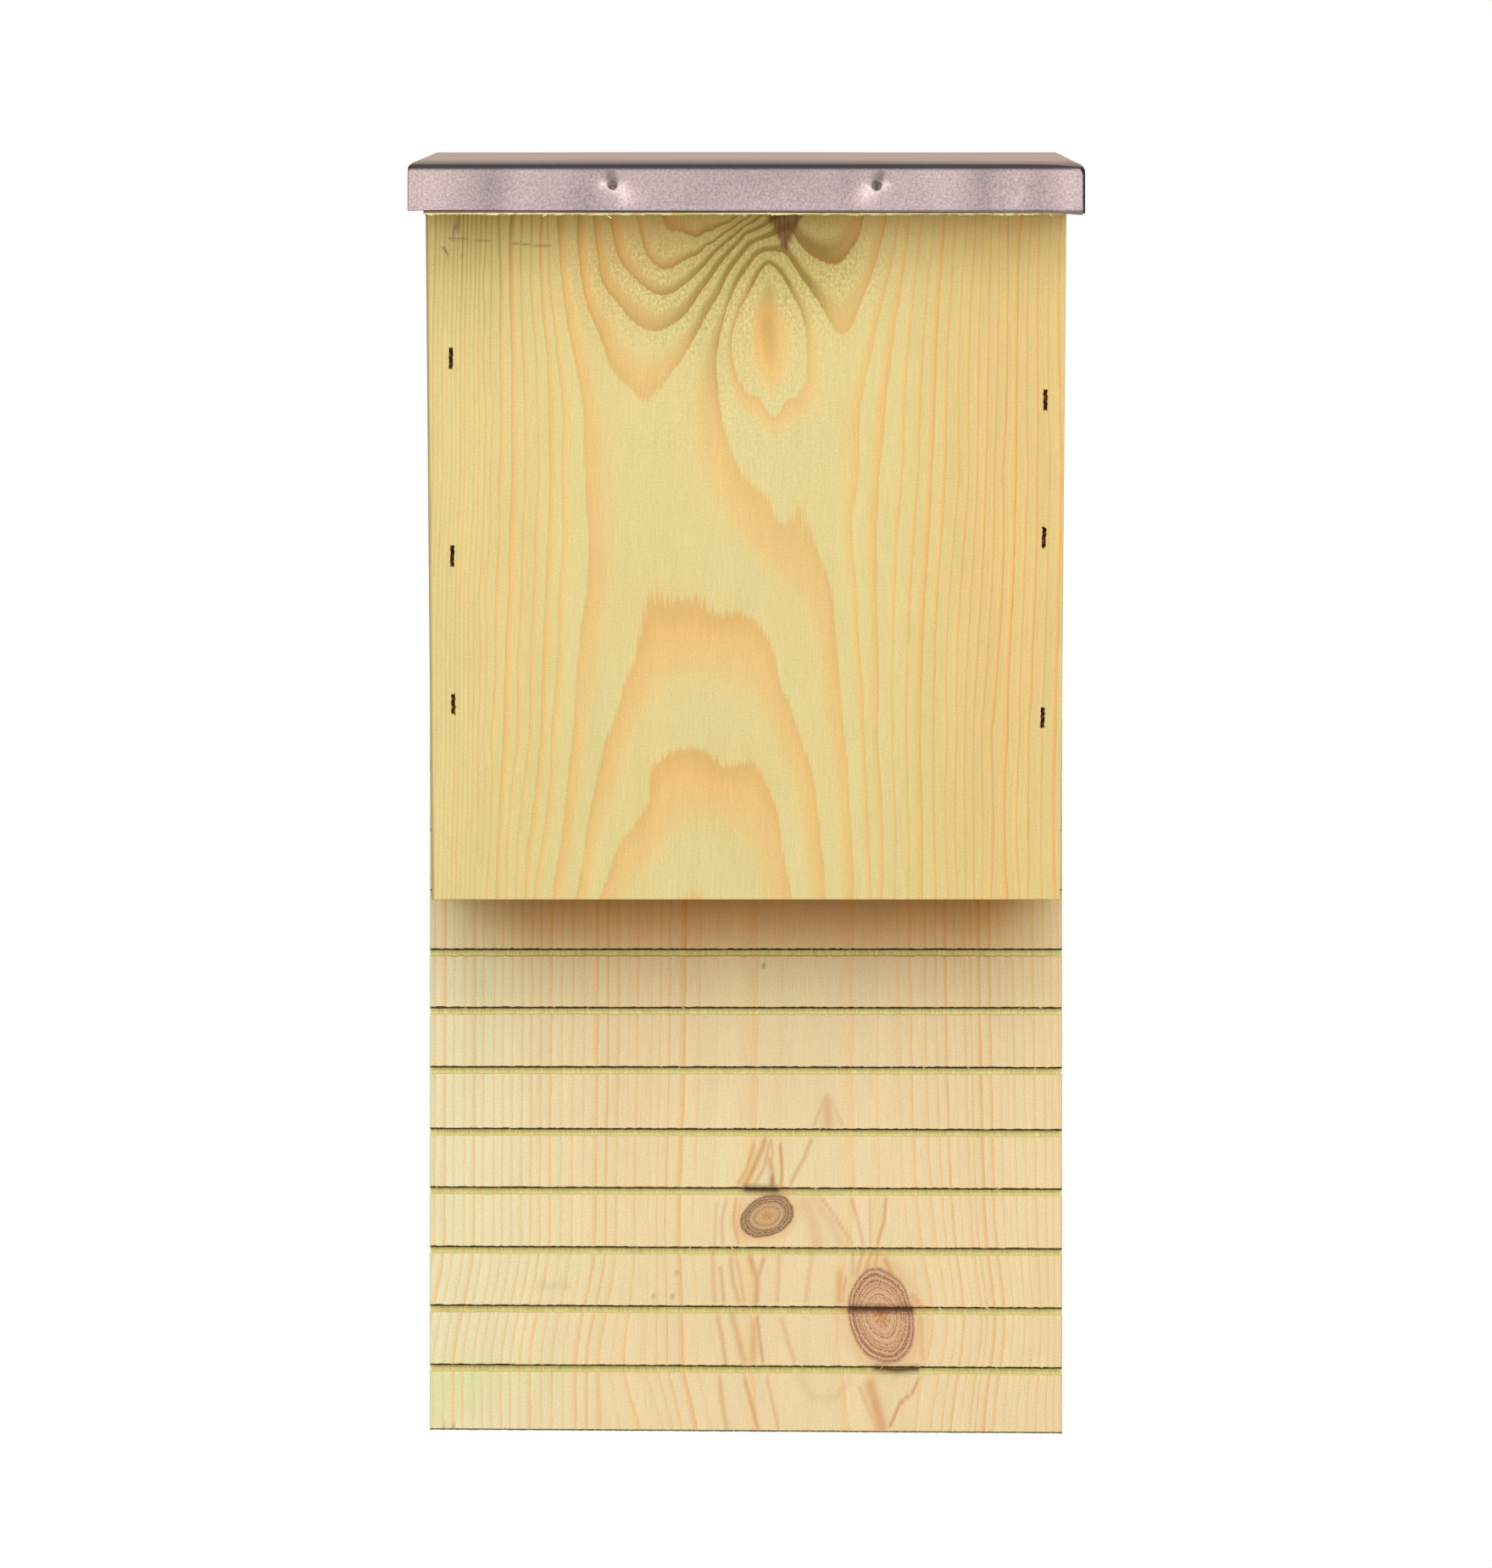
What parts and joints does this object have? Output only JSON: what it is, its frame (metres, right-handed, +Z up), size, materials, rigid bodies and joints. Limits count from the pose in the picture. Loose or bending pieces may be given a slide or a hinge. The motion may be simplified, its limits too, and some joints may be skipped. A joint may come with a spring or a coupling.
{
  "type": "bat box",
  "caption": "Wedge-shaped pine bat box on a tall grooved back panel, open below, with a sloping roof under a folded galvanised sheet cap.",
  "frame": {"origin": "middle of the back panel's rear face, which lies on the wall", "axes": "+Z up along the back panel, +Y into the wall, +X to the right of someone facing the front"},
  "size_m": [0.185, 0.105, 0.3658],
  "materials": {
    "back_pine": "planed pressure-treated pine, dry and pale",
    "front_pine": "planed pressure-treated pine with strong grain",
    "side_pine": "planed pressure-treated pine",
    "galvanised_sheet": "dull galvanised sheet, folded",
    "nail_steel": "bright nail heads",
    "staple_steel": "rusting staple wire"
  },
  "bodies": {
    "root": {"back_panel": "back_pine", "front_panel": "front_pine", "side_panel_left": "side_pine", "side_panel_right": "side_pine", "roof_board": "side_pine", "roof_cap": "galvanised_sheet", "cap_nail_left": "nail_steel", "cap_nail_right": "nail_steel", "front_staple_left_1": "staple_steel", "front_staple_left_2": "staple_steel", "front_staple_left_3": "staple_steel", "front_staple_right_1": "staple_steel", "front_staple_right_2": "staple_steel", "front_staple_right_3": "staple_steel", "rear_staple_left_1": "staple_steel", "rear_staple_left_2": "staple_steel", "rear_staple_left_3": "staple_steel", "rear_staple_right_1": "staple_steel", "rear_staple_right_2": "staple_steel", "rear_staple_right_3": "staple_steel", "roof_staple_left_1": "staple_steel", "roof_staple_left_2": "staple_steel", "roof_staple_right_1": "staple_steel", "roof_staple_right_2": "staple_steel"}
  },
  "joints": []
}
